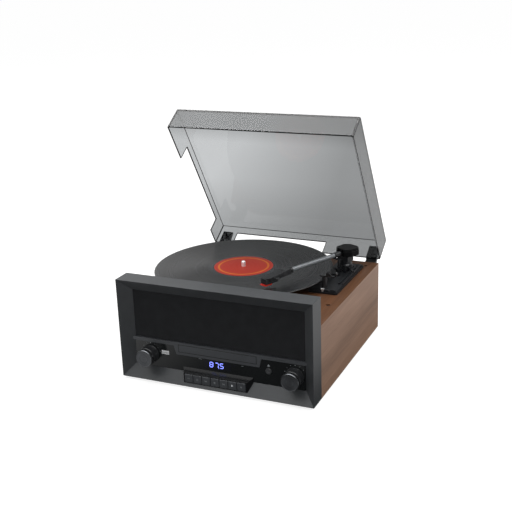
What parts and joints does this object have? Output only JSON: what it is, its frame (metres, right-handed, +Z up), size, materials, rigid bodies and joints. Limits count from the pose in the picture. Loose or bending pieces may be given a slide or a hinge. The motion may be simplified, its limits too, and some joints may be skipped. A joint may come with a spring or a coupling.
{
  "type": "stereo music centre",
  "caption": "Table-top stereo music centre: wooden case with a record deck under a hinged smoked cover, disc tray, front speakers, keys and two knobs.",
  "frame": {"origin": "middle of the whole object's footprint, with its cover open, on the surface it stands on", "axes": "+X to the right as seen from the front, +Y to the back, +Z up; the front face with the knobs looks towards -Y"},
  "size_m": [0.3472, 0.392, 0.397],
  "materials": {
    "top_wood": "satin",
    "side_wood": "satin",
    "base_board": "matte",
    "rear_board": "matte",
    "foot_rubber": "matte",
    "black_screw": "satin",
    "frame_plastic": "satin",
    "baffle_board": "matte",
    "grille_cloth": "woven",
    "speaker_steel": "satin",
    "cone_paper": "matte",
    "gloss_panel": "gloss",
    "display_window": "gloss",
    "circuit_board": "satin",
    "encoder_metal": "satin",
    "socket_metal": "polished",
    "key_bezel": "gloss",
    "transformer_core": "satin",
    "line_sockets": "plated",
    "inlet_plastic": "satin",
    "chassis_plastic": "matte",
    "clamp_steel": "satin",
    "tray_plastic": "satin",
    "sled_plastic": "matte",
    "hub_plastic": "matte",
    "bearing_brass": "turned",
    "spindle_steel": "polished",
    "platter_plastic": "satin",
    "mat_felt": "felt",
    "record_vinyl": "grooved",
    "belt_rubber": "matte",
    "motor_steel": "satin",
    "pulley_brass": "turned",
    "deck_plastic": "satin",
    "arm_plastic": "satin",
    "arm_tube": "brushed",
    "cartridge_plastic": "satin",
    "stylus_red": "gloss",
    "weight_metal": "gloss",
    "switch_silver": "satin",
    "smoked_acrylic": "polished",
    "hinge_plastic": "satin",
    "knob_plastic": "turned",
    "button_plastic": "satin",
    "key_plastic": "satin"
  },
  "bodies": {
    "case": {"top_board": "top_wood", "side_board_left": "side_wood", "side_board_right": "side_wood", "bottom_board": "base_board", "rear_panel": "rear_board", "rubber_feet": "foot_rubber", "case_screws": "black_screw", "front_frame": "frame_plastic", "speaker_baffle": "baffle_board", "speaker_grille": "grille_cloth", "speaker_frames": "speaker_steel", "speaker_cones": "cone_paper", "control_panel": "gloss_panel", "display_lens": "display_window", "front_circuit_board": "circuit_board", "rotary_encoders": "encoder_metal", "usb_socket": "socket_metal", "key_housing": "key_bezel", "main_circuit_board": "circuit_board", "mains_transformer": "transformer_core", "rear_sockets": "line_sockets", "mains_inlet": "inlet_plastic", "disc_chassis": "chassis_plastic", "disc_clamp": "clamp_steel", "platter_bearing": "bearing_brass", "drive_belt": "belt_rubber", "platter_motor": "motor_steel", "tonearm_base": "deck_plastic", "arm_rest": "arm_plastic", "hinge_brackets": "hinge_plastic"},
    "lid": {"dust_cover": "smoked_acrylic", "hinge_arms": "hinge_plastic"},
    "turntable": {"platter": "platter_plastic", "slip_mat": "mat_felt", "record": "record_vinyl", "spindle": "spindle_steel"},
    "pulley": {"motor_pulley": "pulley_brass"},
    "tonearm_yoke": {"tonearm_gimbal": "arm_plastic"},
    "tonearm": {"tonearm_tube": "arm_tube", "headshell": "arm_plastic", "cartridge": "cartridge_plastic", "stylus": "stylus_red", "counterweight": "weight_metal"},
    "cue_lever_body": {"cue_lever": "arm_plastic"},
    "cue_platform_body": {"cue_platform": "arm_plastic"},
    "arm_clip_body": {"arm_clip": "arm_plastic"},
    "speed_switch_body": {"speed_switch": "switch_silver"},
    "disc_tray_body": {"disc_tray": "tray_plastic"},
    "laser_sled_body": {"laser_sled": "sled_plastic"},
    "disc_hub_body": {"disc_hub": "hub_plastic"},
    "knob_left_body": {"knob_left": "knob_plastic"},
    "knob_right_body": {"knob_right": "knob_plastic"},
    "eject_button_body": {"eject_button": "button_plastic"},
    "key_1_body": {"key_1": "key_plastic"},
    "key_2_body": {"key_2": "key_plastic"},
    "key_3_body": {"key_3": "key_plastic"},
    "key_4_body": {"key_4": "key_plastic"},
    "key_5_body": {"key_5": "key_plastic"},
    "key_6_body": {"key_6": "key_plastic"},
    "key_7_body": {"key_7": "key_plastic"}
  },
  "joints": [
    {"name": "lid_hinge", "type": "hinge", "parent": "case", "child": "lid", "pos_m": [0.01015, 0.152, 0.1098], "axis": [-1, 0, 0], "range_deg": [-58, 0]},
    {"name": "turntable_spin", "type": "hinge", "parent": "case", "child": "turntable", "pos_m": [-0.02285, 0.0075, 0.123], "axis": [0, 0, 1], "continuous": true},
    {"name": "pulley_spin", "type": "hinge", "parent": "case", "child": "pulley", "pos_m": [-0.09166, -0.04068, 0.123], "axis": [0, 0, 1], "continuous": true},
    {"name": "tonearm_sweep", "type": "hinge", "parent": "case", "child": "tonearm_yoke", "pos_m": [0.13015, 0.0905, 0.156], "axis": [0, 0, -1], "range_deg": [-24.8, 18.58]},
    {"name": "tonearm_tilt", "type": "hinge", "parent": "tonearm_yoke", "child": "tonearm", "pos_m": [0.13015, 0.0905, 0.156], "axis": [-0.9078, 0.4195, 0], "range_deg": [-0.45, 12]},
    {"name": "cue_lever_turn", "type": "hinge", "parent": "case", "child": "cue_lever_body", "pos_m": [0.14015, 0.0685, 0.139], "axis": [0.6157, 0.788, 0], "range_deg": [-60, 0]},
    {"name": "cue_lift", "type": "slide", "parent": "case", "child": "cue_platform_body", "axis": [0, 0, 1], "range_m": [-0.0024, 0], "stiffness_N_per_m": 5, "springref_m": 0.0024},
    {"name": "arm_clip_swing", "type": "hinge", "parent": "case", "child": "arm_clip_body", "pos_m": [0.13765, -0.017, 0.153], "axis": [0, 1, 0], "range_deg": [-150, 0]},
    {"name": "speed_switch_slide", "type": "slide", "parent": "case", "child": "speed_switch_body", "axis": [1, 0, 0], "range_m": [0, 0.008]},
    {"name": "disc_tray_slide", "type": "slide", "parent": "case", "child": "disc_tray_body", "axis": [0, -1, 0], "range_m": [0, 0.134]},
    {"name": "laser_sled_slide", "type": "slide", "parent": "case", "child": "laser_sled_body", "axis": [0, 1, 0], "range_m": [0, 0.033]},
    {"name": "disc_hub_spin", "type": "hinge", "parent": "case", "child": "disc_hub_body", "pos_m": [0.01015, -0.1005, 0.049], "axis": [0, 0, 1], "continuous": true},
    {"name": "knob_left_turn", "type": "hinge", "parent": "case", "child": "knob_left_body", "pos_m": [-0.10685, -0.196, 0.0442], "axis": [0, -1, 0], "continuous": true},
    {"name": "knob_right_turn", "type": "hinge", "parent": "case", "child": "knob_right_body", "pos_m": [0.13915, -0.196, 0.0442], "axis": [0, -1, 0], "continuous": true},
    {"name": "eject_press", "type": "slide", "parent": "case", "child": "eject_button_body", "axis": [0, 1, 0], "range_m": [0, 0.001], "stiffness_N_per_m": 800, "springref_m": -0.0005},
    {"name": "key_1_press", "type": "slide", "parent": "case", "child": "key_1_body", "axis": [0, 1, 0], "range_m": [0, 0.0015], "stiffness_N_per_m": 700, "springref_m": -0.0006},
    {"name": "key_2_press", "type": "slide", "parent": "case", "child": "key_2_body", "axis": [0, 1, 0], "range_m": [0, 0.0015], "stiffness_N_per_m": 700, "springref_m": -0.0006},
    {"name": "key_3_press", "type": "slide", "parent": "case", "child": "key_3_body", "axis": [0, 1, 0], "range_m": [0, 0.0015], "stiffness_N_per_m": 700, "springref_m": -0.0006},
    {"name": "key_4_press", "type": "slide", "parent": "case", "child": "key_4_body", "axis": [0, 1, 0], "range_m": [0, 0.0015], "stiffness_N_per_m": 700, "springref_m": -0.0006},
    {"name": "key_5_press", "type": "slide", "parent": "case", "child": "key_5_body", "axis": [0, 1, 0], "range_m": [0, 0.0015], "stiffness_N_per_m": 700, "springref_m": -0.0006},
    {"name": "key_6_press", "type": "slide", "parent": "case", "child": "key_6_body", "axis": [0, 1, 0], "range_m": [0, 0.0015], "stiffness_N_per_m": 700, "springref_m": -0.0006},
    {"name": "key_7_press", "type": "slide", "parent": "case", "child": "key_7_body", "axis": [0, 1, 0], "range_m": [0, 0.0015], "stiffness_N_per_m": 700, "springref_m": -0.0006}
  ],
  "couplings": [
    {"joint": "pulley_spin", "follows": "turntable_spin", "ratio": 18.5},
    {"joint": "cue_lever_turn", "follows": "cue_lift", "rad_per_m": 436.3}
  ]
}
